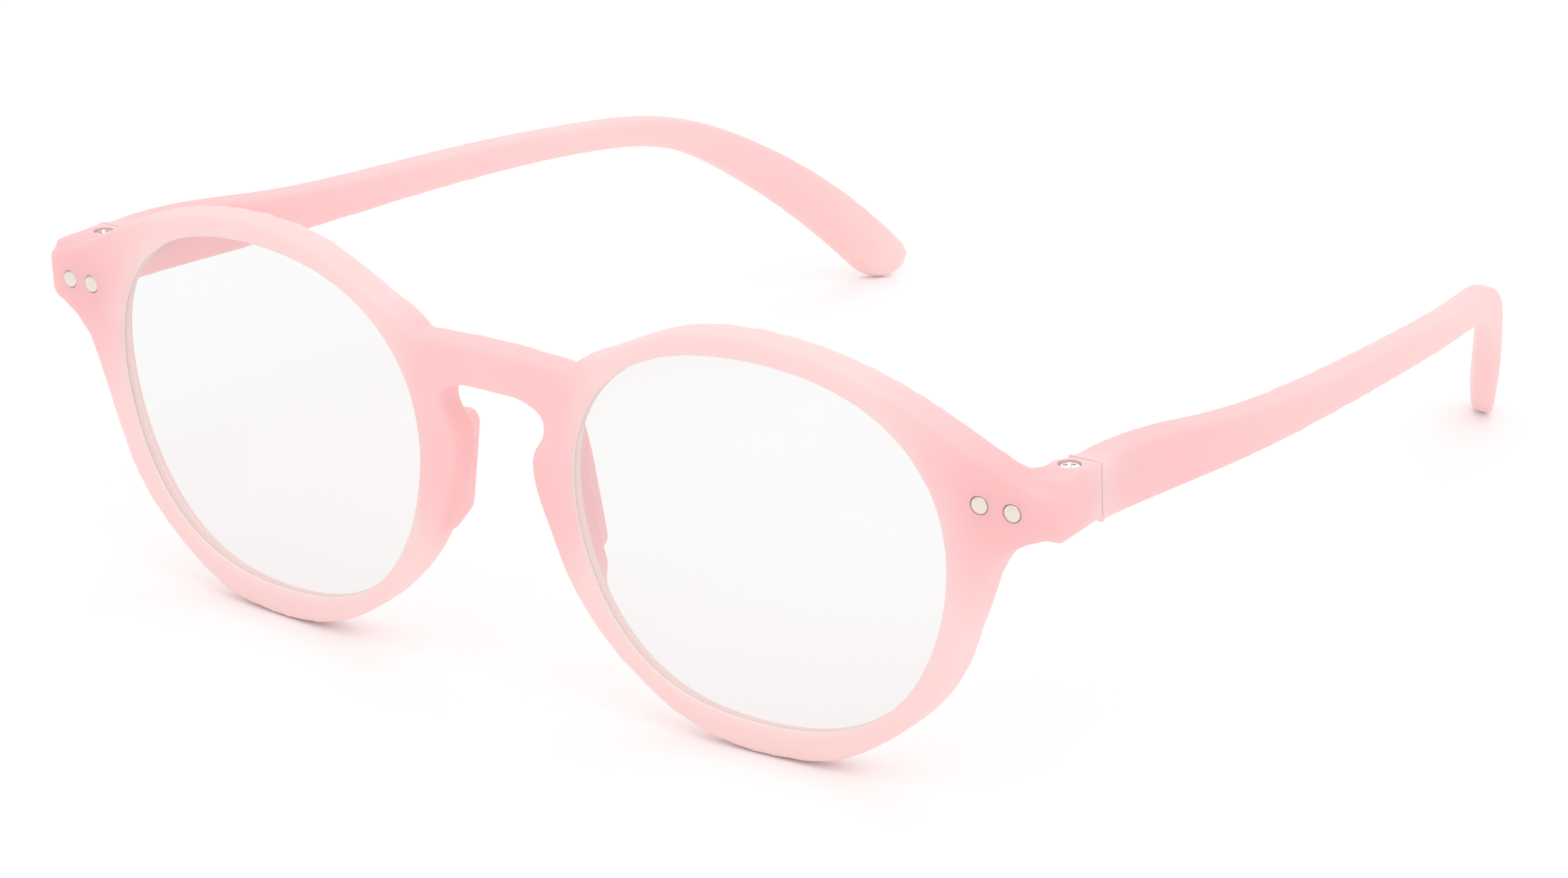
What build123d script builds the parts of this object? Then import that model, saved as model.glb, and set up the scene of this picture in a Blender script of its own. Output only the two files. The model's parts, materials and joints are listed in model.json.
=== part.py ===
from build123d import *
import math
import os

# Screen glasses: a one-piece moulded front with a keyhole bridge, two clear lenses, and two moulded arms
# on sprung hinges. Every piece is drawn upright, as the front stands when it is looked at squarely: +X is
# the wearer's left, +Y points back to the ears, +Z is up, and the middle of the front face is the origin.
# At the end the whole model leans forward onto its rims and arm tips, and moves to the floor's frame.

# ---- the front, in millimetres ----
LENS_X = 32.9             # middle of a lens from the middle of the bridge
FACE_RADIUS = 500.0       # the front is bent round the face
FRONT_THICK = 3.9
LENS_THICK = 1.5
LENS_SETBACK = 0.8        # front face of the rim to front face of the lens
GROOVE_DEPTH = 0.6        # how far the lens goes into the rim
OPENING_STEPS = 48
RIM_BOTTOM = 24.2         # middle of a lens to the bottom of its rim
RIM_TOP = 22.9
BAND_HALF_HEIGHT = 40.0
PRISM_START = -5.0        # outlines are drawn this far in front of the face and run back through it
CORNER_ROUND = 2.2        # where the front turns into an endpiece
PAD_PLACE = (8.3, 2.0, -1.2)
PAD_HEIGHT = 15.0
PAD_WIDTH = 5.0
PAD_LENGTH = 4.4
PAD_TAPER = 16.0          # the pads narrow to a crest, degrees a side
PAD_TILT = 9.0            # their tops lean in towards the bridge, degrees

# ---- endpiece and hinge ----
HINGE_X = 64.9
HINGE_Y = 12.0
HINGE_Z = 9.0
LUG_RADIUS = 2.1
ENDPIECE_OUT = 67.4
ENDPIECE_TOP = 12.1
ENDPIECE_BOTTOM = 5.8
SLOT_HALF = 1.25          # half the height of the slot between the lugs
EYE_HALF = 1.0            # half the height of the hinge eye
EYE_RADIUS = 1.5
SLOT_RADIUS = 1.65
WASHER_THICK = 0.2
SCREW_RADIUS = 0.7
HEAD_RADIUS = 1.2
HEAD_HEIGHT = 0.8
RUNNING_GAP = 0.03        # radial clearance of the eye and washers on the screw
INSERT_RADIUS = 1.25
INSERT_HEIGHT = 1.45
RIVET_RADIUS = 0.97
RIVET_PLACES = ((59.5, 9.65), (63.1, 9.4))
RIVET_LENGTH = 3.0
RIVET_PROUD = 0.15

# ---- spring mechanism in the arm ----
ROD_RADIUS = 0.6
NECK_START = 0.9          # the thicker neck between eye and rod, from the screw's axis
NECK_END = 2.6
ROD_END = 22.8
STOP_LENGTH = 1.2
STOP_RADIUS = 1.0
HOUSING_START = 14.9
HOUSING_END = 24.0
HOUSING_WALL = 0.9
HOUSING_HALF_WIDE = 1.35
HOUSING_HALF_TALL = 1.4
HOUSING_BORE = 1.08
SPRING_RADIUS = 0.84
SPRING_WIRE = 0.16
SPRING_COILS = 8
SPRING_CLEAR = 0.2        # wire to the seats at each end

# ---- arms ----
SEAM_GAP = 0.12
TIP_Y = 137.8
TIP_RADIUS = 2.9
LEAN = 3.755              # forward lean of the front when the glasses stand open, degrees
DEPTH_MIDDLE = 70.69      # from the upright origin back to the middle of the glasses' depth
# stations of an arm: distance back, height of its middle line, half its height
ARM_STATIONS = (
    (24.0, 7.5, 3.4),
    (41.5, 4.25, 2.7),
    (59.0, 1.7, 2.2),
    (77.5, -0.6, 2.0),
    (97.5, -3.5, 1.85),
    (112.8, -7.45, 2.1),
    (121.2, -12.8, 2.5),
    (128.9, -19.6, 2.8),
)
ARM_START_HEIGHTS = (5.35, 12.0)   # bottom and top of an arm's front end
# plan of an arm: distance back, outer face from the middle, thickness
ARM_PLAN = (
    (8.0, 67.4, 4.2),
    (40.0, 67.6, 4.1),
    (80.0, 66.0, 3.7),
    (115.0, 59.1, 3.5),
    (133.0, 49.9, 3.4),
    (142.0, 43.6, 2.4),
)


def sag(x):
    """How far back the front's face lies at x."""
    return FACE_RADIUS - math.sqrt(FACE_RADIUS ** 2 - x ** 2)


def opening_radius(angle):
    """Lens opening from its middle: a soft rounded shape, widest above the middle. 0 points to the temple."""
    return (22.0 + 0.93 * math.cos(2 * angle) - 0.42 * math.cos(4 * angle)
            + 0.38 * math.sin(3 * angle) + 0.13 * math.sin(5 * angle))


def face_cylinder(depth):
    """The cylinder that holds everything behind the front's face, at that depth."""
    return Pos(0, FACE_RADIUS, 0) * Cylinder(FACE_RADIUS - depth, 2 * BAND_HALF_HEIGHT)


def slab(prism, near, far):
    """What is left of a prism between two depths behind the front's face."""
    return (prism & face_cylinder(near)) - face_cylinder(far)


def opening_prism(grow, side, length):
    """A prism along Y with the lens opening's outline, grown outward."""
    points = lens_outline(grow, side)
    quarter = OPENING_STEPS // 4
    edges = []
    for start in range(0, OPENING_STEPS, quarter):
        run = [points[i % OPENING_STEPS] for i in range(start - 1, start + quarter + 2)]
        first_way = (run[2][0] - run[0][0], 0, run[2][1] - run[0][1])
        last_way = (run[-1][0] - run[-3][0], 0, run[-1][1] - run[-3][1])
        edges.append(Spline(*[(x, PRISM_START, z) for x, z in run[1:-1]], tangents=[first_way, last_way]))
    return extrude(make_face(edges), length, dir=(0, 1, 0))


def lens_outline(grow, side):
    """Points of the lens opening, grown outward, for the left (+1) or right (-1) lens."""
    points = []
    for i in range(OPENING_STEPS):
        angle = 2 * math.pi * i / OPENING_STEPS
        radius = opening_radius(angle) + grow
        points.append((side * (LENS_X + radius * math.cos(angle)), radius * math.sin(angle)))
    return points


def outline_run(points, start_way, end_way):
    """One smooth stretch of the front's outline, through points given in x and z."""
    return Spline(*[(x, PRISM_START, z) for x, z in points],
                  tangents=[(start_way[0], 0, start_way[1]), (end_way[0], 0, end_way[1])])


def front_outline():
    """Left half of the front's outline, from the bridge's top round the rim to the bridge's underside."""
    bridge_top = outline_run([(0, 15.15), (5, 15.05), (10.0, 14.75)], (1, 0), (1, -0.05))
    brow = outline_run([(10.0, 14.75), (14.8, 17.75), (21.0, 20.7), (LENS_X, RIM_TOP)], (0.6, 0.8), (1, 0))
    shoulder = outline_run(
        [(LENS_X, RIM_TOP), (45.1, 21.2), (54.0, 17.7), (60.0, 14.5), (ENDPIECE_OUT, 11.7)], (1, 0), (1, -0.2))
    end = Line((ENDPIECE_OUT, PRISM_START, 11.7), (ENDPIECE_OUT, PRISM_START, 6.9))
    flare = outline_run([(ENDPIECE_OUT, 6.9), (64.0, 5.7), (61.0, 3.0), (59.2, -1.4), (57.9, -5.0)],
                        (-1, -0.2), (-0.34, -1))
    outer_bottom = outline_run([(57.9, -5.0), (54.7, -12.6), (45.3, -21.3), (LENS_X, -RIM_BOTTOM)],
                               (-0.34, -1), (-1, 0))
    inner_bottom = outline_run([(LENS_X, -RIM_BOTTOM), (20.7, -21.0), (11.2, -12.5), (7.2, -4.6)],
                               (-1, 0), (-0.35, 1))
    neck = outline_run([(7.2, -4.6), (5.1, 3.4)], (-0.35, 1), (0.03, 1))
    keyhole = outline_run([(5.1, 3.4), (5.9, 5.5), (6.9, 7.9)], (0.03, 1), (0, 1))
    corner = outline_run([(6.9, 7.9), (5.5, 9.7), (3.4, 10.3)], (0, 1), (-1, 0.1))
    underside = outline_run([(3.4, 10.3), (0, 10.35)], (-1, 0.1), (-1, 0))
    middle = Line((0, PRISM_START, 10.35), (0, PRISM_START, 15.15))
    upper = [bridge_top, brow, shoulder, end]
    lower = [flare, outer_bottom, inner_bottom]
    return upper + lower + [neck, keyhole, corner, underside, middle]


def endpiece():
    """The left endpiece behind the front: it wraps back and ends in a rounded knuckle round the screw."""
    back = HINGE_Y + LUG_RADIUS
    inner = HINGE_X - LUG_RADIUS
    outer = Line((ENDPIECE_OUT, 6.5), (ENDPIECE_OUT, back))
    butt = Line((ENDPIECE_OUT, back), (HINGE_X, back))
    knuckle = CenterArc((HINGE_X, HINGE_Y), LUG_RADIUS, 90, 90)
    wall = Line((inner, HINGE_Y), (inner, 10.2))
    throat = ThreePointArc((inner, 10.2), (inner - 0.6, 8.8), (inner - 1.8, 7.9))
    step = Line((inner - 1.8, 7.9), (inner - 4.0, 7.2))
    root = Line((inner - 4.0, 7.2), (inner - 4.0, 5.5))
    under = Line((inner - 4.0, 5.5), (ENDPIECE_OUT, 6.5))
    plan = extrude(make_face([outer, butt, knuckle, wall, throat, step, root, under]), 30)
    side = [(0, ENDPIECE_BOTTOM), (back + 1, ENDPIECE_BOTTOM)]
    side += [(back + 1, ENDPIECE_TOP - 0.1), (7.0, 12.7), (0, 12.7)]
    profile = make_face(Polyline(*[(50, y, z) for y, z in side], close=True))
    return plan & extrude(profile, 30, dir=(1, 0, 0))


def hinge_cuts():
    """Cut from the left endpiece: the eye's slot, the screw's hole and counterbore, the insert's seat."""
    slot_width = HINGE_X + SLOT_RADIUS - 55.0
    slot_depth = 20.0
    slot = Pos(55.0, HINGE_Y, HINGE_Z - SLOT_HALF) * Box(
        slot_width - SLOT_RADIUS, slot_depth, 2 * SLOT_HALF, align=(Align.MIN, Align.MIN, Align.MIN))
    slot += Pos(HINGE_X, HINGE_Y, HINGE_Z) * Cylinder(SLOT_RADIUS, 2 * SLOT_HALF)
    slot += Pos(HINGE_X, HINGE_Y, HINGE_Z - SLOT_HALF) * Box(
        SLOT_RADIUS, slot_depth, 2 * SLOT_HALF, align=(Align.MIN, Align.MIN, Align.MIN))
    slot += Pos(HINGE_X - LUG_RADIUS - 3, HINGE_Y - SLOT_RADIUS, HINGE_Z - SLOT_HALF) * Box(
        LUG_RADIUS + 3, 2 * SLOT_RADIUS, 2 * SLOT_HALF, align=(Align.MIN, Align.MIN, Align.MIN))
    hole = Pos(HINGE_X, HINGE_Y, HINGE_Z) * Cylinder(SCREW_RADIUS + RUNNING_GAP, 20)
    seat = Pos(HINGE_X, HINGE_Y, ENDPIECE_TOP - HEAD_HEIGHT) * Cylinder(
        HEAD_RADIUS + RUNNING_GAP, 5, align=(Align.CENTER, Align.CENTER, Align.MIN))
    insert = Pos(HINGE_X, HINGE_Y, HINGE_Z - SLOT_HALF - INSERT_HEIGHT) * Cylinder(
        INSERT_RADIUS, INSERT_HEIGHT, align=(Align.CENTER, Align.CENTER, Align.MIN))
    return slot + hole + seat + insert


def lens(side):
    """A lens: the opening's shape, grown into the groove, as thick as the lens."""
    return slab(opening_prism(GROOVE_DEPTH, side, 30), LENS_SETBACK, LENS_SETBACK + LENS_THICK)


def nose_pad():
    """The left nose pad: a ridge moulded onto the back of the rim."""
    upright = Plane((0, 0, 0), x_dir=(-1, 0, 0), z_dir=(0, 1, 0))
    foot = upright * SlotOverall(PAD_HEIGHT, PAD_WIDTH, rotation=90)
    ridge = extrude(foot, PAD_LENGTH, taper=PAD_TAPER)
    return Pos(*PAD_PLACE) * Rot(0, -PAD_TILT, 0) * ridge


def rivet(x, z):
    """One pin with a round head, just proud of the front's face."""
    pin = Cylinder(RIVET_RADIUS, RIVET_LENGTH, align=(Align.CENTER, Align.CENTER, Align.MIN))
    return Pos(x, sag(x) - RIVET_PROUD, z) * Rot(-90, 0, 0) * pin


def rivets():
    return Compound([rivet(x, z) for x, z in RIVET_PLACES])


def front_frame():
    """The one-piece front: rims, keyhole bridge, nose pads and endpieces."""
    prism = extrude(make_face(front_outline()), 30, dir=(0, 1, 0))
    body = slab(prism, 0, FRONT_THICK) + endpiece()
    corner = [edge for edge in body.edges().filter_by(Axis.Z) if edge.center().Y < sag(ENDPIECE_OUT) + 0.3]
    body = fillet([edge for edge in corner if edge.center().X > ENDPIECE_OUT - 0.1], CORNER_ROUND)
    body = body + nose_pad()
    body = body - opening_prism(0, 1, 16) - lens(1)
    body = body - hinge_cuts()
    for x, z in RIVET_PLACES:
        body = body - rivet(x, z)
    return body + mirror(body, about=Plane.YZ)


def hinge_screw():
    """Cross-recess screw, head up, flush in the upper lug."""
    bottom = HINGE_Z - SLOT_HALF - INSERT_HEIGHT
    head_bottom = ENDPIECE_TOP - HEAD_HEIGHT
    shaft = Pos(0, 0, bottom) * Cylinder(
        SCREW_RADIUS, head_bottom - bottom, align=(Align.CENTER, Align.CENTER, Align.MIN))
    head = Pos(0, 0, head_bottom) * Cylinder(
        HEAD_RADIUS, HEAD_HEIGHT, align=(Align.CENTER, Align.CENTER, Align.MIN))
    head = fillet(head.edges().group_by(Axis.Z)[-1], 0.2)
    recess = Pos(0, 0, ENDPIECE_TOP) * (Box(1.5, 0.32, 0.9) + Box(0.32, 1.5, 0.9))
    return Pos(HINGE_X, HINGE_Y, 0) * (shaft + head - recess)


def screw_insert():
    """Threaded metal insert in the lower lug."""
    ring = Cylinder(INSERT_RADIUS, INSERT_HEIGHT) - Cylinder(SCREW_RADIUS, INSERT_HEIGHT)
    return Pos(HINGE_X, HINGE_Y, HINGE_Z - SLOT_HALF - INSERT_HEIGHT / 2) * ring


def washers():
    """Two thin nylon washers, above and below the eye."""
    ring = Cylinder(EYE_RADIUS, WASHER_THICK) - Cylinder(SCREW_RADIUS + RUNNING_GAP, WASHER_THICK)
    offset = (EYE_HALF + SLOT_HALF) / 2
    return Compound([Pos(HINGE_X, HINGE_Y, HINGE_Z + way * offset) * ring for way in (1, -1)])


def hinge_eye():
    """Metal eye on the screw, with a rod that runs back into the arm."""
    ring = Cylinder(EYE_RADIUS, 2 * EYE_HALF)
    neck = Pos(0, NECK_START, 0) * Box(
        1.6, NECK_END - NECK_START, 1.7, align=(Align.CENTER, Align.MIN, Align.CENTER))
    rod = Pos(0, 1.0, 0) * Rot(-90, 0, 0) * Cylinder(
        ROD_RADIUS, ROD_END - HINGE_Y - 1.0, align=(Align.CENTER, Align.CENTER, Align.MIN))
    hole = Cylinder(SCREW_RADIUS + RUNNING_GAP, 10)
    return Pos(HINGE_X, HINGE_Y, HINGE_Z) * (ring + neck + rod - hole)


def along_rod(start, length, radius):
    """A round bar about the rod's axis."""
    bar = Cylinder(radius, length, align=(Align.CENTER, Align.CENTER, Align.MIN))
    return Pos(HINGE_X, start, HINGE_Z) * Rot(-90, 0, 0) * bar


def spring_stop():
    """Collar on the rod's end, which the spring pushes on."""
    start = ROD_END - STOP_LENGTH
    return along_rod(start, STOP_LENGTH, STOP_RADIUS) - along_rod(start - 1, STOP_LENGTH + 2, ROD_RADIUS)


def spring():
    """Coil spring on the rod, between the housing's front wall and the collar."""
    start = HOUSING_START + HOUSING_WALL + SPRING_WIRE + SPRING_CLEAR
    end = ROD_END - STOP_LENGTH - SPRING_WIRE - SPRING_CLEAR
    height = end - start
    path = Helix(height / SPRING_COILS, height, SPRING_RADIUS)
    section = Plane(origin=path @ 0, z_dir=path % 0) * Circle(SPRING_WIRE)
    coil = sweep(section, path=path)
    return Pos(HINGE_X, start, HINGE_Z) * Rot(-90, 0, 0) * coil


def spring_housing():
    """Metal sleeve set in the arm: closed at the back, with a hole for the rod in its front wall."""
    length = HOUSING_END - HOUSING_START
    box = Pos(HINGE_X, HOUSING_START + length / 2, HINGE_Z) * Box(
        2 * HOUSING_HALF_WIDE, length, 2 * HOUSING_HALF_TALL)
    bore = along_rod(HOUSING_START + HOUSING_WALL, length - 1.2 - HOUSING_WALL, HOUSING_BORE)
    mouth = along_rod(HOUSING_START - 1, 4, ROD_RADIUS + RUNNING_GAP)
    return box - bore - mouth


def floor_level():
    """Height of the floor once the model leans: the front edge of the rims' bottoms stands on it."""
    lean = math.radians(LEAN)
    return sag(LENS_X) * math.sin(lean) - RIM_BOTTOM * math.cos(lean)


def arm():
    """A left arm: hump over the hinge, long slim shank, ear bend and rounded tip."""
    start = HINGE_Y + LUG_RADIUS + SEAM_GAP
    lean = math.radians(LEAN)
    tip_z = (floor_level() + TIP_RADIUS - TIP_Y * math.sin(lean)) / math.cos(lean)
    tops = [(start, ARM_START_HEIGHTS[1])]
    bottoms = [(start, ARM_START_HEIGHTS[0])]
    stations = list(ARM_STATIONS) + [(TIP_Y, tip_z, TIP_RADIUS)]
    before = (start, 8.8, 0)
    for i, (y, z, half) in enumerate(stations):
        after = stations[i + 1] if i + 1 < len(stations) else (2 * y - before[0], 2 * z - before[1], 0)
        run_y = after[0] - before[0]
        run_z = after[1] - before[1]
        run = math.hypot(run_y, run_z)
        tops.append((y - half * run_z / run, z + half * run_y / run))
        bottoms.append((y + half * run_z / run, z - half * run_y / run))
        before = (y, z, half)
    end = (run_y / run * TIP_RADIUS + TIP_Y, run_z / run * TIP_RADIUS + tip_z)
    x = 40.0
    top = Spline(*[(x, y, z) for y, z in tops])
    bottom = Spline(*[(x, y, z) for y, z in bottoms])
    cap = ThreePointArc(top @ 1, (x, *end), bottom @ 1)
    butt = Line(top @ 0, bottom @ 0)
    side = extrude(make_face([top, cap, bottom, butt]), 40, dir=(1, 0, 0))
    outer = Spline(*[(out, y, 0) for y, out, thick in ARM_PLAN])
    inner = Spline(*[(out - thick, y, 0) for y, out, thick in ARM_PLAN])
    rim = [outer, inner, Line(outer @ 0, inner @ 0), Line(outer @ 1, inner @ 1)]
    plan = extrude(Pos(0, 0, -50) * make_face(rim), 100)
    seat_length = HOUSING_END - HOUSING_START
    seat = Pos(HINGE_X, HOUSING_START + seat_length / 2, HINGE_Z) * Box(
        2 * HOUSING_HALF_WIDE, seat_length, 2 * HOUSING_HALF_TALL)
    throat = Pos(HINGE_X, HINGE_Y, HINGE_Z) * Box(2.2, 2 * (HOUSING_START - HINGE_Y), 2.3)
    return (side & plan) - seat - throat


def placed(piece):
    """Leans a piece forward by the lean angle and moves it to the floor's frame."""
    return Pos(0, -DEPTH_MIDDLE, -floor_level()) * Rot(LEAN, 0, 0) * piece


def write(name, piece):
    export_step(placed(piece), os.path.join("parts", name + ".step"))


def main():
    os.makedirs("parts", exist_ok=True)
    write("front_frame", front_frame())
    both_sides = {
        "lens": lens(1),
        "rivets": rivets(),
        "hinge_screw": hinge_screw(),
        "screw_insert": screw_insert(),
        "washers": washers(),
        "hinge_eye": hinge_eye(),
        "spring_stop": spring_stop(),
        "spring": spring(),
        "spring_housing": spring_housing(),
        "temple": arm(),
    }
    for name, piece in both_sides.items():
        write(name + "_left", piece)
        write(name + "_right", mirror(piece, about=Plane.YZ))


main()
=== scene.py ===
"""Screen glasses: the moulded front, arms, lenses and hinge hardware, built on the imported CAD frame."""

import json
import math

import bpy
import numpy as np
from mathutils import Matrix, Vector
from mathutils.bvhtree import BVHTree
from mathutils.kdtree import KDTree


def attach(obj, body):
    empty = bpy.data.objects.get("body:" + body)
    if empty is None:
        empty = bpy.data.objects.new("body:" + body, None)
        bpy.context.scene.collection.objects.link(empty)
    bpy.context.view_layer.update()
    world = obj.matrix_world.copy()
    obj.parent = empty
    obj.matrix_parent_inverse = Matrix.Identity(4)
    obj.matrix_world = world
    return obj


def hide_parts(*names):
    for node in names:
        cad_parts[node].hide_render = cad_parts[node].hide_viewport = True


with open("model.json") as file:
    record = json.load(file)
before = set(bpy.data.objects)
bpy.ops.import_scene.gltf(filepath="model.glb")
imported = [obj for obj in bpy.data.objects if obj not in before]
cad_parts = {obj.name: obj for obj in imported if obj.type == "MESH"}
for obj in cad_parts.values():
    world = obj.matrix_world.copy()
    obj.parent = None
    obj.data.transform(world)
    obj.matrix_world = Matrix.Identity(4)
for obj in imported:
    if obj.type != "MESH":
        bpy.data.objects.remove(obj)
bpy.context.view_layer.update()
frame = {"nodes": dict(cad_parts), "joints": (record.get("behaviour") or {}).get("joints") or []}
SIDES = {"left": 1, "right": -1}

# ---- the upright frame: millimetres from the middle of the bridge, as part.py draws it ----
HINGE = Vector((64.9, 12.0, 9.0))
MM = 0.001


def upright_to_row():
    """Matrix from upright millimetres to the row frame, read off the left hinge and its slide."""
    joints = {joint["name"]: joint for joint in frame["joints"]}
    up = Vector(joints["fold_left"]["axis"]).normalized()
    back = Vector(joints["spring_slide_left"]["axis"]).normalized()
    across = back.cross(up)
    turn = Matrix((across, back, up)).transposed()
    origin = Vector(joints["fold_left"]["pos_m"]) - turn @ (HINGE * MM)
    return Matrix.Translation(origin) @ turn.to_4x4() @ Matrix.Scale(MM, 4)


TO_ROW = upright_to_row()
TO_UPRIGHT = TO_ROW.inverted()

# ---- sizes, in millimetres of the upright frame ----
LENS_X = 32.9
FACE_RADIUS = 500.0
FRONT_THICK = 3.9
LENS_SETBACK = 0.8
GROOVE_DEPTH = 0.6
OPENING_POINTS = 256
BEVEL = 0.35              # soft edge round a lens opening, at the front
LIP_END = 1.6             # depth at which the back of an opening starts to flare
FLARE = 2.0               # how far the flare opens at the back
PAD_ZONE = (-9.5, 7.5)    # heights between which the nose pads fill the flare
PLASTIC_VOXEL = 0.26
FRONT_PASSES = 16         # smoothing passes that round the moulded edges
ARM_PASSES = 34
SEAM_Y = 14.1             # back face of an endpiece
SEAM_GAP = 0.12
ENDPIECE_TOP = 12.1
ENDPIECE_BOTTOM = 5.8
LUG_RADIUS = 2.1
SLOT_HALF = 1.25
SLOT_RADIUS = 1.65
SCREW_RADIUS = 0.7
HEAD_RADIUS = 1.2
HEAD_HEIGHT = 0.8
INSERT_HEIGHT = 1.45
PIN_RADIUS = 0.97
PIN_LENGTH = 3.0
PIN_PROUD = 0.15
PIN_PLACES = ((59.5, 9.65), (63.1, 9.4))
HOUSING = ((63.55, 14.9, 7.6), (66.25, 24.0, 10.4))
THROAT = ((63.8, 9.1, 7.85), (66.0, 14.9, 10.15))
THROAT_FILL_END = 15.2


def sag(x):
    """How far back the front's face lies at x."""
    return FACE_RADIUS - math.sqrt(FACE_RADIUS ** 2 - x ** 2)


def opening_radius(angle):
    """Lens opening from its middle. 0 points to the temple."""
    return (22.0 + 0.93 * math.cos(2 * angle) - 0.42 * math.cos(4 * angle)
            + 0.38 * math.sin(3 * angle) + 0.13 * math.sin(5 * angle))


# ---- mesh helpers ----

def new_object(name, points, faces):
    mesh = bpy.data.meshes.new(name)
    mesh.from_pydata([tuple(p) for p in points], [], faces)
    mesh.update()
    obj = bpy.data.objects.new(name, mesh)
    bpy.context.scene.collection.objects.link(obj)
    return obj


def discard(*objects):
    for obj in objects:
        mesh = obj.data
        bpy.data.objects.remove(obj)
        bpy.data.meshes.remove(mesh)


def applied(obj):
    """Replaces an object's mesh with what its modifiers make of it."""
    bpy.context.view_layer.update()
    result = bpy.data.meshes.new_from_object(obj.evaluated_get(bpy.context.evaluated_depsgraph_get()))
    obj.modifiers.clear()
    old = obj.data
    obj.data = result
    bpy.data.meshes.remove(old)
    return obj


def joined(name, objects):
    """One object that holds every shell of the given ones, in upright millimetres."""
    points = []
    faces = []
    for obj in objects:
        start = len(points)
        points += [v.co.copy() for v in obj.data.vertices]
        faces += [[start + i for i in p.vertices] for p in obj.data.polygons]
    discard(*objects)
    return new_object(name, points, faces)


def upright_copy(node):
    """A copy of a CAD node's mesh in upright millimetres, with its split points welded."""
    source = frame["nodes"][node].data
    points = [TO_UPRIGHT @ v.co for v in source.vertices]
    obj = new_object(node + "_copy", points, [list(p.vertices) for p in source.polygons])
    weld = obj.modifiers.new("weld", "WELD")
    weld.merge_threshold = 0.0005
    return applied(obj)


def cuboid(low, high):
    """A closed box between two corners, for filling and cutting."""
    (x0, y0, z0), (x1, y1, z1) = low, high
    points = [(x, y, z) for x in (x0, x1) for y in (y0, y1) for z in (z0, z1)]
    faces = [(0, 1, 3, 2), (4, 6, 7, 5), (0, 4, 5, 1), (2, 3, 7, 6), (0, 2, 6, 4), (1, 5, 7, 3)]
    return new_object("cuboid", points, faces)


def rings_to_mesh(name, rings, closed=False):
    """A skin over rings of equal length, with both ends filled, or the last ring joined to the first."""
    count = len(rings[0])
    points = [p for ring in rings for p in ring]
    faces = []
    spans = len(rings) if closed else len(rings) - 1
    for r in range(spans):
        a, b = r * count, (r + 1) % len(rings) * count
        for i in range(count):
            j = (i + 1) % count
            faces.append((a + i, a + j, b + j, b + i))
    if not closed:
        faces.append(tuple(range(count))[::-1])
        faces.append(tuple(range(len(points) - count, len(points))))
    return new_object(name, points, faces)


def turned(name, profile, place, axis="Z", steps=64):
    """A lathe-turned piece: profile of (radius, height) pairs, round an axis through place."""
    rings = []
    for radius, height in profile:
        ring = []
        for i in range(steps):
            angle = 2 * math.pi * i / steps
            u, v = radius * math.cos(angle), radius * math.sin(angle)
            offset = (u, v, height) if axis == "Z" else (u, height, v)
            ring.append(Vector(place) + Vector(offset))
        rings.append(ring if axis == "Z" else ring[::-1])
    return rings_to_mesh(name, rings)


def column(place, radius, low, high, axis="Z"):
    """A plain round column for filling and cutting."""
    x, y, z = place
    base = (x, y, 0) if axis == "Z" else (x, 0, z)
    return turned("column", [(radius, low), (radius, high)], base, axis, 48)


def mirrored(obj):
    """The same object on the other side."""
    for vertex in obj.data.vertices:
        vertex.co.x = -vertex.co.x
    obj.data.flip_normals()
    return obj


def on_side(make, side):
    """Makes a piece on the left and mirrors it when it belongs on the right."""
    obj = make()
    return mirrored(obj) if side == "right" else obj


def boolean(obj, tools, operation="DIFFERENCE"):
    for tool in tools:
        modifier = obj.modifiers.new("cut", "BOOLEAN")
        modifier.operation = operation
        modifier.solver = "EXACT"
        modifier.object = tool
        applied(obj)
        discard(tool)
    return obj


def remeshed(obj, voxel):
    modifier = obj.modifiers.new("remesh", "REMESH")
    modifier.mode = "VOXEL"
    modifier.voxel_size = voxel
    return applied(obj)


def coordinates(mesh):
    flat = np.empty(len(mesh.vertices) * 3)
    mesh.vertices.foreach_get("co", flat)
    return flat.reshape(-1, 3)


def edge_pairs(mesh):
    flat = np.empty(len(mesh.edges) * 2, dtype=np.int64)
    mesh.edges.foreach_get("vertices", flat)
    return flat.reshape(-1, 2)


def averaged(values, pairs, count):
    """Mean of each point's neighbours."""
    total = np.zeros_like(values)
    number = np.zeros(len(values))
    np.add.at(total, pairs[:, 0], values[pairs[:, 1]])
    np.add.at(total, pairs[:, 1], values[pairs[:, 0]])
    np.add.at(number, pairs[:, 0], 1)
    np.add.at(number, pairs[:, 1], 1)
    return total / np.maximum(number, 1).reshape(-1, *([1] * (values.ndim - 1)))


def softened(obj, passes, free):
    """Smooths a mesh by neighbour averaging. free is 1 where points may move and 0 where edges stay crisp."""
    mesh = obj.data
    points = coordinates(mesh)
    pairs = edge_pairs(mesh)
    share = 0.5 * free(points).reshape(-1, 1)
    for _ in range(passes):
        points += share * (averaged(points, pairs, len(points)) - points)
    mesh.vertices.foreach_set("co", points.ravel())
    mesh.update()
    return obj


def finished(obj, body, material, slot, *nodes, sharp=35):
    """Moves a piece from upright millimetres to the row frame, shades it and hands it to its body."""
    obj.data.transform(TO_ROW)
    obj.data.materials.clear()
    obj.data.materials.append(material)
    obj.data.polygons.foreach_set("use_smooth", [True] * len(obj.data.polygons))
    obj.data.set_sharp_from_angle(angle=math.radians(sharp))
    obj.data.update()
    if nodes:
        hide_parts(*nodes)
    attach(obj, body)
    return obj


# ---- plastic thickness, for the colour of the translucent plastic ----

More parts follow.
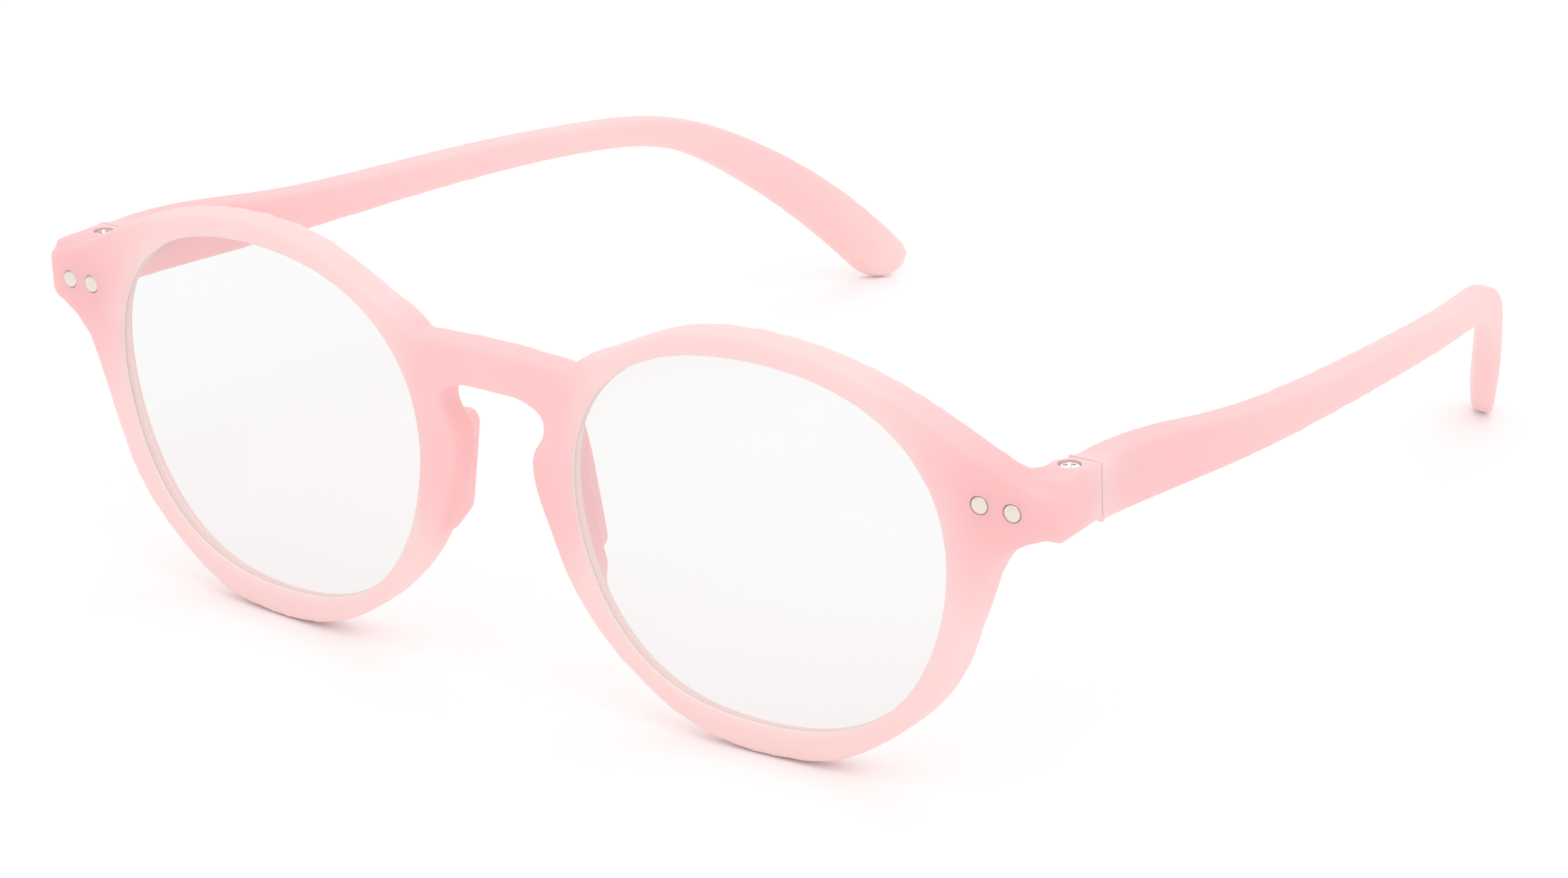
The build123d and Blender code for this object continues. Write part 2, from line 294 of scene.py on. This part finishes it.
def thickness_field(obj, reach=9.0, grid=1.0):
    """How much plastic lies behind points of a coarse copy, 0 to 1: rays run inward and are averaged."""
    coarse = new_object("coarse", coordinates(obj.data), [list(p.vertices) for p in obj.data.polygons])
    remeshed(coarse, grid)
    points = [v.co for v in obj.data.vertices]
    tree = BVHTree.FromPolygons(points, [list(p.vertices) for p in obj.data.polygons])
    tilts = [(0.0, 0)] + [(0.9, k * math.pi / 4) for k in range(8)]
    places = KDTree(len(coarse.data.vertices))
    depth = np.zeros(len(coarse.data.vertices))
    for i, vertex in enumerate(coarse.data.vertices):
        hit, normal, _, _ = tree.find_nearest(vertex.co)
        places.insert(vertex.co, i)
        side = normal.orthogonal().normalized()
        other = normal.cross(side)
        for tilt, turn in tilts:
            spread = side * math.cos(turn) + other * math.sin(turn)
            way = (-normal * math.cos(tilt) + spread * math.sin(tilt)).normalized()
            _, _, _, far = tree.ray_cast(hit + way * 0.02, way, reach)
            depth[i] += min(far if far is not None else reach, reach) / reach
    places.balance()
    depth /= len(tilts)
    pairs = edge_pairs(coarse.data)
    for _ in range(6):
        depth = 0.5 * depth + 0.5 * averaged(depth, pairs, len(depth))
    discard(coarse)
    return places, depth


def store_thickness(obj, places, depth):
    """Carries the coarse thickness over to a piece's own points."""
    result = np.zeros(len(obj.data.vertices))
    for i, vertex in enumerate(obj.data.vertices):
        near = places.find_n(vertex.co, 3)
        weights = [1 / (distance + 0.2) for _, _, distance in near]
        result[i] = sum(w * depth[k] for w, (_, k, _) in zip(weights, near)) / sum(weights)
    pairs = edge_pairs(obj.data)
    for _ in range(12):
        result = 0.5 * result + 0.5 * averaged(result, pairs, len(result))
    store(obj, "plastic_depth", result)


def store(obj, name, values):
    layer = obj.data.attributes.new(name, "FLOAT", "POINT")
    layer.data.foreach_set("value", np.asarray(values, dtype=np.float32))


# ---- materials ----

def material(name):
    made = bpy.data.materials.new(name)
    made.use_nodes = True
    nodes = made.node_tree.nodes
    return made, nodes, made.node_tree.links, nodes["Principled BSDF"]


def noise(nodes, links, scale, detail=2.0):
    """A noise texture in object space, in the row frame's metres."""
    place = nodes.new("ShaderNodeTexCoord")
    texture = nodes.new("ShaderNodeTexNoise")
    texture.inputs["Scale"].default_value = scale
    texture.inputs["Detail"].default_value = detail
    links.new(place.outputs["Object"], texture.inputs["Vector"])
    return texture


def ramp(nodes, links, value, stops):
    """A colour ramp fed by a value: stops of (position, colour)."""
    made = nodes.new("ShaderNodeValToRGB")
    elements = made.color_ramp.elements
    while len(elements) > 1:
        elements.remove(elements[-1])
    elements[0].position, elements[0].color = stops[0][0], (*stops[0][1], 1)
    for position, colour in stops[1:]:
        elements.new(position).color = (*colour, 1)
    links.new(value, made.inputs["Fac"])
    return made


def mixed(nodes, links, factor, first, second, blend="MIX"):
    made = nodes.new("ShaderNodeMix")
    made.data_type = "RGBA"
    made.blend_type = blend
    for socket, value in ((made.inputs[0], factor), (made.inputs[6], first), (made.inputs[7], second)):
        if hasattr(value, "is_output"):
            links.new(value, socket)
        else:
            socket.default_value = value if isinstance(value, float) else (*value, 1)
    return made.outputs[2]


def bumped(nodes, links, shader, height, strength, distance):
    bump = nodes.new("ShaderNodeBump")
    bump.inputs["Strength"].default_value = strength
    bump.inputs["Distance"].default_value = distance
    links.new(height, bump.inputs["Height"])
    links.new(bump.outputs["Normal"], shader.inputs["Normal"])


def attribute(nodes, name):
    made = nodes.new("ShaderNodeAttribute")
    made.attribute_name = name
    return made


THIN_PINK = (1.0, 0.685, 0.672)
MID_PINK = (1.0, 0.600, 0.603)
DEEP_PINK = (1.0, 0.520, 0.530)
# painted light: pale cream laid on the wall of each lens opening, for light through the lens edge and the
# highlight along its bevel
EDGE_LIGHT_CREAM = (0.98, 0.90, 0.86)


def pink_plastic():
    """Satin translucent plastic: deeper where there is more of it, with painted light as pale cream on the wall
    of each lens opening, finely grained.
    """
    made, nodes, links, shader = material("pink_plastic")
    depth = attribute(nodes, "plastic_depth")
    base = ramp(nodes, links, depth.outputs["Fac"], [(0.36, THIN_PINK), (0.48, MID_PINK), (0.66, DEEP_PINK)])
    cloud = noise(nodes, links, 90.0)
    clouded = mixed(nodes, links, cloud.outputs["Fac"], (0.97, 0.97, 0.97), (1.0, 1.0, 1.0))
    coloured = mixed(nodes, links, 1.0, base.outputs["Color"], clouded, "MULTIPLY")
    # painted light: pale cream mixed in on the lens openings' walls for light through the lens edge and the
    # bevel's highlight
    edge = attribute(nodes, "lens_edge")
    links.new(mixed(nodes, links, edge.outputs["Fac"], coloured, EDGE_LIGHT_CREAM), shader.inputs["Base Color"])
    grain = noise(nodes, links, 2600.0, 3.0)
    sheen = nodes.new("ShaderNodeMapRange")
    sheen.inputs["To Min"].default_value = 0.42
    sheen.inputs["To Max"].default_value = 0.54
    links.new(grain.outputs["Fac"], sheen.inputs["Value"])
    links.new(sheen.outputs["Result"], shader.inputs["Roughness"])
    bumped(nodes, links, shader, grain.outputs["Fac"], 0.12, 0.00004)
    shader.inputs["IOR"].default_value = 1.48
    shader.inputs["Specular IOR Level"].default_value = 0.35
    shader.inputs["Subsurface Weight"].default_value = 0.35
    shader.inputs["Subsurface Radius"].default_value = (1.0, 0.55, 0.5)
    shader.inputs["Subsurface Scale"].default_value = 0.002
    return made


def metal(name, colour, darker, roughness, scale):
    """Worked metal: fine variation of tone and roughness over the colour."""
    made, nodes, links, shader = material(name)
    marks = noise(nodes, links, scale, 4.0)
    links.new(mixed(nodes, links, marks.outputs["Fac"], darker, colour), shader.inputs["Base Color"])
    spread = nodes.new("ShaderNodeMapRange")
    spread.inputs["To Min"].default_value = roughness * 0.8
    spread.inputs["To Max"].default_value = roughness * 1.25
    links.new(marks.outputs["Fac"], spread.inputs["Value"])
    links.new(spread.outputs["Result"], shader.inputs["Roughness"])
    bumped(nodes, links, shader, marks.outputs["Fac"], 0.1, 0.00002)
    shader.inputs["Metallic"].default_value = 1.0
    return made


def clear_lens():
    """Clear coated lens: nearly invisible, with a faint neutral tint and a soft reflection."""
    made, nodes, links, shader = material("lens")
    haze = noise(nodes, links, 60.0)
    tint = mixed(nodes, links, haze.outputs["Fac"], (0.44, 0.44, 0.445), (0.47, 0.47, 0.47))
    links.new(tint, shader.inputs["Base Color"])
    shader.inputs["Roughness"].default_value = 0.04
    shader.inputs["IOR"].default_value = 1.5
    shader.inputs["Alpha"].default_value = 0.085
    return made


def ground_edge():
    """The lens's ground edge: frosted and pale."""
    made, nodes, links, shader = material("lens_edge")
    frost = noise(nodes, links, 2400.0, 3.0)
    tone = mixed(nodes, links, frost.outputs["Fac"], (0.98, 0.80, 0.77), (1.0, 0.86, 0.83))
    links.new(tone, shader.inputs["Base Color"])
    shader.inputs["Roughness"].default_value = 0.7
    bumped(nodes, links, shader, frost.outputs["Fac"], 0.15, 0.00003)
    return made


def nylon():
    made, nodes, links, shader = material("nylon")
    grain = noise(nodes, links, 1800.0)
    tone = mixed(nodes, links, grain.outputs["Fac"], (0.80, 0.80, 0.77), (0.88, 0.88, 0.86))
    links.new(tone, shader.inputs["Base Color"])
    shader.inputs["Roughness"].default_value = 0.5
    bumped(nodes, links, shader, grain.outputs["Fac"], 0.1, 0.00002)
    return made


# ---- the moulded front ----

def pad_share(angle):
    """1 beside a nose pad, 0 elsewhere round a lens opening, with a smooth change."""
    height = opening_radius(angle) * math.sin(angle)
    if math.cos(angle) > 0:
        return 0.0
    low, high = PAD_ZONE
    inside = min((height - low) / 4.0, (high - height) / 4.0)
    t = min(max(inside + 0.3, 0.0), 1.0)
    return t * t * (3 - 2 * t)


def opening_ring(side, depth, grow, flare=0.0):
    """A lens opening's outline, grown outward, at that depth behind the curved face."""
    ring = []
    for i in range(OPENING_POINTS):
        angle = 2 * math.pi * i / OPENING_POINTS
        radius = opening_radius(angle) + grow + flare * (1 - pad_share(angle))
        x = LENS_X + radius * math.cos(angle)
        ring.append(Vector((x * side, sag(x) + depth, radius * math.sin(angle))))
    return ring if side < 0 else ring[::-1]


def opening_cutter(side):
    """What is cut for a lens: rounded front edge, groove for the lens, and a flare at the back."""
    middle = (LENS_SETBACK + LIP_END) / 2
    rings = [opening_ring(side, -3.0, BEVEL + 1.5), opening_ring(side, -0.6, BEVEL + 0.6)]
    steps = 6
    for k in range(steps):
        t = k / (steps - 1) * math.pi / 2
        rings.append(opening_ring(side, BEVEL * (1 - math.cos(t)) - 0.02, BEVEL * (1 - math.sin(t))))
    rings.append(opening_ring(side, LENS_SETBACK, 0))
    rings.append(opening_ring(side, middle, GROOVE_DEPTH))
    rings.append(opening_ring(side, LIP_END, 0))
    run = FRONT_THICK + 0.2 - LIP_END
    for k in range(1, steps + 1):
        t = k / steps
        rings.append(opening_ring(side, LIP_END + run * t, 0.15 * t, FLARE * t ** 1.35))
    rings.append(opening_ring(side, FRONT_THICK + 9.0, 0.3, FLARE + 1.5))
    return rings_to_mesh("opening", rings)


def disc_fill(place, radius, near, far):
    """A round plug that follows the curved face."""
    rings = []
    for depth in (near, far):
        ring = []
        for i in range(32):
            angle = -2 * math.pi * i / 32
            x = place[0] + radius * math.cos(angle)
            ring.append(Vector((x, sag(x) + depth, place[1] + radius * math.sin(angle))))
        rings.append(ring)
    return rings_to_mesh("plug", rings)


def knuckle_fill():
    """Solid plastic in place of the hinge slot and holes, while the front is smoothed."""
    x, y, _ = HINGE
    return [
        column(HINGE, LUG_RADIUS - 0.05, ENDPIECE_BOTTOM + 0.03, ENDPIECE_TOP - 0.03),
        cuboid((x - LUG_RADIUS, y - 2.2, 7.5), (67.0, y, 10.5)),
        cuboid((x, y - 1.0, 7.5), (67.0, SEAM_Y, 10.5)),
    ] + [disc_fill(place, PIN_RADIUS + 0.2, 0.0, PIN_LENGTH + 0.3) for place in PIN_PLACES]


def knuckle_cuts():
    """The hinge slot, the screw's hole and counterbore, and the holes of the pins."""
    x, y, z = HINGE
    slot_low, slot_high = z - SLOT_HALF, z + SLOT_HALF
    return [
        column(HINGE, SLOT_RADIUS, slot_low, slot_high),
        cuboid((x - 6, y - SLOT_RADIUS + 0.02, slot_low + 0.003), (x, y + 6, slot_high - 0.003)),
        cuboid((x - 0.3, y, slot_low + 0.006), (x + SLOT_RADIUS - 0.01, y + 6, slot_high - 0.006)),
        column(HINGE, SCREW_RADIUS + 0.05, ENDPIECE_BOTTOM + 0.4, ENDPIECE_TOP + 1),
        column(HINGE, HEAD_RADIUS + 0.05, ENDPIECE_TOP - HEAD_HEIGHT, ENDPIECE_TOP + 1),
    ] + [disc_fill(place, PIN_RADIUS + 0.06, -1.0, PIN_LENGTH) for place in PIN_PLACES]


def crisp_at_seam(points):
    """1 away from the seam between endpiece and arm, falling to 0 on its faces."""
    distance = np.abs(points[:, 1] - SEAM_Y)
    out = np.abs(points[:, 0]) < HINGE.x - LUG_RADIUS - 1.5
    return np.where(out, 1.0, np.clip((distance - 0.3) / 0.8, 0, 1))


def front_frame(plastic):
    blank = [upright_copy("front_frame")] + [upright_copy("lens_" + side) for side in SIDES]
    for side in SIDES:
        blank += [mirrored(fill) if side == "right" else fill for fill in knuckle_fill()]
    front = remeshed(joined("front_shell", blank), PLASTIC_VOXEL)
    softened(front, FRONT_PASSES, crisp_at_seam)
    boolean(front, [opening_cutter(1), opening_cutter(-1)])
    places, depth = thickness_field(front)
    for side in SIDES:
        boolean(front, [mirrored(cut) if side == "right" else cut for cut in knuckle_cuts()])
    store_thickness(front, places, depth)
    # stores where the painted light on the lens openings' walls goes
    store(front, "lens_edge", lens_edge(coordinates(front.data)))
    return finished(front, "front", plastic, "pink_plastic", "front_frame")


def lens_edge(points):
    """Mask for painted light, pale cream standing in for light through the lens edge and the bevel's highlight: 1
    on the wall and groove of a lens opening, and 0 on the face round it and on the flare.
    """
    x = np.abs(points[:, 0])
    angle = np.arctan2(points[:, 2], x - LENS_X)
    radius = np.array([opening_radius(a) for a in angle])
    outside = np.hypot(x - LENS_X, points[:, 2]) - radius
    depth = points[:, 1] - np.array([sag(a) for a in x])
    near_wall = np.clip((0.3 - outside) / 0.25, 0, 1)
    in_groove = (outside < GROOVE_DEPTH + 0.1) & (depth > LENS_SETBACK - 0.05) & (depth < LIP_END + 0.05)
    beside_lens = np.clip((depth - 0.35) / 0.2, 0, 1) * (depth < LIP_END + 0.05)
    return np.maximum(near_wall * beside_lens, in_groove)


# ---- arms ----

def arm(side, plastic):
    low, high = THROAT
    throat_fill = cuboid((low[0], SEAM_Y + SEAM_GAP, low[2]), (high[0], THROAT_FILL_END, high[2]))
    fill = [cuboid(*HOUSING), throat_fill]
    fill = [mirrored(piece) if side == "right" else piece for piece in fill]
    shell = remeshed(joined("arm_shell_" + side, [upright_copy("temple_" + side)] + fill), PLASTIC_VOXEL)
    softened(shell, ARM_PASSES, crisp_at_seam)
    places, depth = thickness_field(shell)
    boolean(shell, [on_side(lambda: cuboid(*HOUSING), side), on_side(lambda: cuboid(*THROAT), side)])
    store_thickness(shell, places, depth)
    store(shell, "lens_edge", np.zeros(len(shell.data.vertices)))
    return finished(shell, "arm_" + side, plastic, "pink_plastic", "temple_" + side)


# ---- lenses, pins and screws ----

def lens(side, glass, ground):
    """A lens: slightly domed, with a ground V edge that sits in the groove."""
    sign = SIDES[side]
    middle = (LENS_SETBACK + LIP_END) / 2
    steps = 14
    front = LENS_SETBACK + 0.02
    shape = [(k / steps, -0.02, front - 0.4 * (1 - (k / steps) ** 2)) for k in range(1, steps + 1)]
    shape.append((1.0, GROOVE_DEPTH - 0.03, middle))
    back = LIP_END - 0.02
    shape += [(k / steps, -0.02, back + 0.2 * (1 - (k / steps) ** 2)) for k in range(steps, 0, -1)]
    rings = []
    for share, grow, depth in shape:
        ring = []
        for i in range(OPENING_POINTS):
            angle = 2 * math.pi * i / OPENING_POINTS
            radius = (opening_radius(angle) + grow) * share
            x = LENS_X + radius * math.cos(angle)
            ring.append(Vector((x * sign, sag(x) + depth, radius * math.sin(angle))))
        rings.append(ring if sign < 0 else ring[::-1])
    pane = rings_to_mesh("lens_pane_" + side, rings)
    pane.data.flip_normals()
    pane = finished(pane, "front", glass, "lens", "lens_" + side)
    pane.data.materials.append(ground)
    edge_faces = range((steps - 1) * OPENING_POINTS, (steps + 1) * OPENING_POINTS)
    for face in edge_faces:
        pane.data.polygons[face].material_index = 1
    pane.visible_shadow = False
    return pane


def pins(side, steel):
    """Two pins with slightly domed, chamfered heads."""
    made = []
    for x, z in PIN_PLACES:
        start = sag(x) - PIN_PROUD
        profile = [(0.02, start), (0.45, start + 0.005), (0.78, start + 0.03), (0.88, start + 0.07)]
        profile += [(PIN_RADIUS - 0.02, start + 0.17), (PIN_RADIUS, start + 0.24)]
        profile.append((PIN_RADIUS, start + PIN_LENGTH))
        made.append(turned("pin", profile, (x, 0, z), "Y"))
    both = joined("pins_" + side, made)
    if side == "right":
        mirrored(both)
    return finished(both, "front", steel, "pin_metal", "rivets_" + side)


def screw(side, steel):
    """Cross-recess screw with a domed head."""
    top = ENDPIECE_TOP
    low = HINGE.z - SLOT_HALF - INSERT_HEIGHT
    shank = [(0.02, low), (SCREW_RADIUS - 0.1, low), (SCREW_RADIUS, low + 0.1), (SCREW_RADIUS, top - HEAD_HEIGHT)]
    head = [(HEAD_RADIUS, top - HEAD_HEIGHT + 0.02), (HEAD_RADIUS, top - 0.3), (HEAD_RADIUS - 0.1, top - 0.16)]
    profile = shank + head + [(HEAD_RADIUS - 0.35, top - 0.06), (0.4, top - 0.01), (0.02, top)]
    body = turned("screw_" + side, profile, (HINGE.x, HINGE.y, 0), "Z", 72)
    for turn in (math.radians(35), math.radians(125)):
        across = Vector((math.cos(turn), math.sin(turn), 0))
        along = Vector((-math.sin(turn), math.cos(turn), 0))
        rings = []
        for height, half_long, half_wide in ((top + 0.2, 0.86, 0.21), (top - 0.45, 0.34, 0.12)):
            centre = Vector((HINGE.x, HINGE.y, height))
            corners = ((-1, -1), (-1, 1), (1, 1), (1, -1))
            rings.append([centre + across * (a * half_long) + along * (b * half_wide) for a, b in corners])
        boolean(body, [rings_to_mesh("recess", rings)])
    if side == "right":
        mirrored(body)
    return finished(body, "front", steel, "screw_metal", "hinge_screw_" + side, sharp=30)


# ---- camera, light and stage ----
CAMERA_TARGET = Vector((-0.00501, -0.01000, 0.00945))
CAMERA_AZIMUTH = math.radians(35.19)
CAMERA_ELEVATION = math.radians(20.52)
CAMERA_DISTANCE = 0.5938
CAMERA_LENS = 116.55


def add_camera():
    camera = bpy.data.objects.new("camera", bpy.data.cameras.new("camera"))
    bpy.context.scene.collection.objects.link(camera)
    level = math.cos(CAMERA_ELEVATION)
    across = math.sin(CAMERA_AZIMUTH) * level
    back = -math.cos(CAMERA_AZIMUTH) * level
    away = Vector((across, back, math.sin(CAMERA_ELEVATION)))
    camera.location = CAMERA_TARGET + away * CAMERA_DISTANCE
    camera.rotation_euler = away.to_track_quat("Z", "Y").to_euler()
    camera.data.lens = CAMERA_LENS
    camera.data.sensor_width = 36.0
    camera.data.clip_start = 0.01
    camera.data.clip_end = 10.0
    bpy.context.scene.camera = camera


def add_area(name, place, size, power):
    lamp = bpy.data.lights.new(name, "AREA")
    lamp.size = size
    lamp.energy = power
    obj = bpy.data.objects.new(name, lamp)
    bpy.context.scene.collection.objects.link(obj)
    obj.location = place
    obj.rotation_euler = (Vector(place)).to_track_quat("Z", "Y").to_euler()
    return obj


def add_stage():
    """A pale floor that runs out of view under a bright, even sky."""
    half = 3.0
    corners = [(-half, -half, 0), (half, -half, 0), (half, half, 0), (-half, half, 0)]
    floor = new_object("floor", corners, [(0, 1, 2, 3)])
    floor.location.z = -0.0001
    made, nodes, links, shader = material("floor_white")
    grain = noise(nodes, links, 40.0)
    tone = mixed(nodes, links, grain.outputs["Fac"], (0.985, 0.985, 0.985), (1.0, 1.0, 1.0))
    links.new(tone, shader.inputs["Base Color"])
    shader.inputs["Roughness"].default_value = 0.9
    shader.inputs["Specular IOR Level"].default_value = 0.1
    floor.data.materials.append(made)
    world = bpy.data.worlds.new("sky")
    bpy.context.scene.world = world
    world.use_nodes = True
    world.node_tree.nodes["Background"].inputs["Color"].default_value = (1, 1, 1, 1)
    world.node_tree.nodes["Background"].inputs["Strength"].default_value = 0.92
    add_area("key", (0.5, -0.5, 1.2), 1.2, 3.0)
    add_area("back", (-0.4, 0.9, 0.9), 1.0, 1.5)
    bpy.context.scene.view_settings.view_transform = "Standard"


def build():
    plastic = pink_plastic()
    steel = metal("pin_metal", (0.90, 0.82, 0.76), (0.78, 0.70, 0.63), 0.38, 2200.0)
    polished = metal("screw_metal", (0.86, 0.85, 0.83), (0.66, 0.65, 0.63), 0.2, 2600.0)
    brushed = metal("hinge_metal", (0.76, 0.75, 0.74), (0.60, 0.59, 0.58), 0.32, 1600.0)
    wire = metal("spring_steel", (0.66, 0.66, 0.68), (0.50, 0.50, 0.52), 0.25, 3000.0)
    white = nylon()
    glass = clear_lens()
    ground = ground_edge()
    front_frame(plastic)
    for side in SIDES:
        arm(side, plastic)
        lens(side, glass, ground)
        pins(side, steel)
        screw(side, polished)
    carried = {"hinge_eye": brushed, "spring_stop": brushed, "spring_housing": brushed, "screw_insert": brushed,
               "spring": wire, "washers": white}
    for name, finish in carried.items():
        for side in SIDES:
            mesh = frame["nodes"][name + "_" + side].data
            mesh.materials.clear()
            mesh.materials.append(finish)


build()
add_camera()
add_stage()
